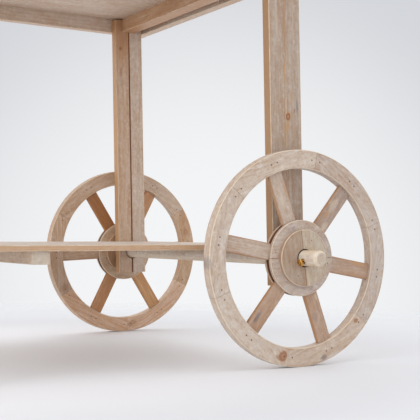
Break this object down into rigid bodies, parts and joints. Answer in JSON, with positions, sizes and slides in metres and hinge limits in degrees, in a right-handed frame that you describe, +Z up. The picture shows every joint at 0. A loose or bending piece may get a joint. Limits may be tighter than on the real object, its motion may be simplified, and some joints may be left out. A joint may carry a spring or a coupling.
{
  "type": "wooden hand cart",
  "caption": "Whitewashed wooden hand cart: spoked wooden wheels on one wooden axle, plank uprights, low shelf, upper deck with rails, and a round pull bar at the front.",
  "frame": {"origin": "on the floor, below the middle of the cart's bounding box", "axes": "+X to the front, where the pull bar is; +Y to the cart's left; +Z up"},
  "size_m": [1.378, 0.985, 0.922],
  "materials": {
    "plank_wood": "whitewashed, matt",
    "wheel_wood": "whitewashed, matt",
    "bare_wood": "thin wash over warm wood, matt",
    "zinc_screws": "yellow zinc plated steel",
    "steel_nails": "dull, slightly rusted"
  },
  "bodies": {
    "frame": {"axle": "bare_wood", "axle_screws": "zinc_screws", "left_post_front": "plank_wood", "left_post_rear": "plank_wood", "right_post_front": "plank_wood", "right_post_rear": "plank_wood", "left_leg": "plank_wood", "right_leg": "plank_wood", "shelf_board_1": "plank_wood", "shelf_board_2": "plank_wood", "shelf_board_3": "plank_wood", "shelf_board_4": "plank_wood", "shelf_board_5": "plank_wood", "shelf_batten_mid": "bare_wood", "shelf_batten_front": "bare_wood", "left_rail": "plank_wood", "right_rail": "plank_wood", "rear_board": "plank_wood", "front_board": "plank_wood", "rear_bearer": "bare_wood", "front_bearer": "bare_wood", "deck_boards": "plank_wood", "pull_bar": "bare_wood", "frame_screws": "zinc_screws", "board_nails": "steel_nails"},
    "left_wheel": {"left_felloe_1": "wheel_wood", "left_felloe_2": "wheel_wood", "left_felloe_3": "wheel_wood", "left_felloe_4": "wheel_wood", "left_felloe_5": "wheel_wood", "left_felloe_6": "wheel_wood", "left_spoke_1": "wheel_wood", "left_spoke_2": "wheel_wood", "left_spoke_3": "wheel_wood", "left_spoke_4": "wheel_wood", "left_spoke_5": "wheel_wood", "left_spoke_6": "wheel_wood", "left_hub_outer": "wheel_wood", "left_hub_inner": "wheel_wood", "left_cap_outer": "wheel_wood", "left_cap_inner": "wheel_wood", "left_wheel_nails": "steel_nails"},
    "right_wheel": {"right_felloe_1": "wheel_wood", "right_felloe_2": "wheel_wood", "right_felloe_3": "wheel_wood", "right_felloe_4": "wheel_wood", "right_felloe_5": "wheel_wood", "right_felloe_6": "wheel_wood", "right_spoke_1": "wheel_wood", "right_spoke_2": "wheel_wood", "right_spoke_3": "wheel_wood", "right_spoke_4": "wheel_wood", "right_spoke_5": "wheel_wood", "right_spoke_6": "wheel_wood", "right_hub_outer": "wheel_wood", "right_hub_inner": "wheel_wood", "right_cap_outer": "wheel_wood", "right_cap_inner": "wheel_wood", "right_wheel_nails": "steel_nails"}
  },
  "joints": [
    {"name": "left_wheel_spin", "type": "hinge", "parent": "frame", "child": "left_wheel", "pos_m": [-0.464, 0.415, 0.225], "axis": [0, 1, 0], "continuous": true},
    {"name": "right_wheel_spin", "type": "hinge", "parent": "frame", "child": "right_wheel", "pos_m": [-0.464, -0.415, 0.225], "axis": [0, 1, 0], "continuous": true}
  ]
}
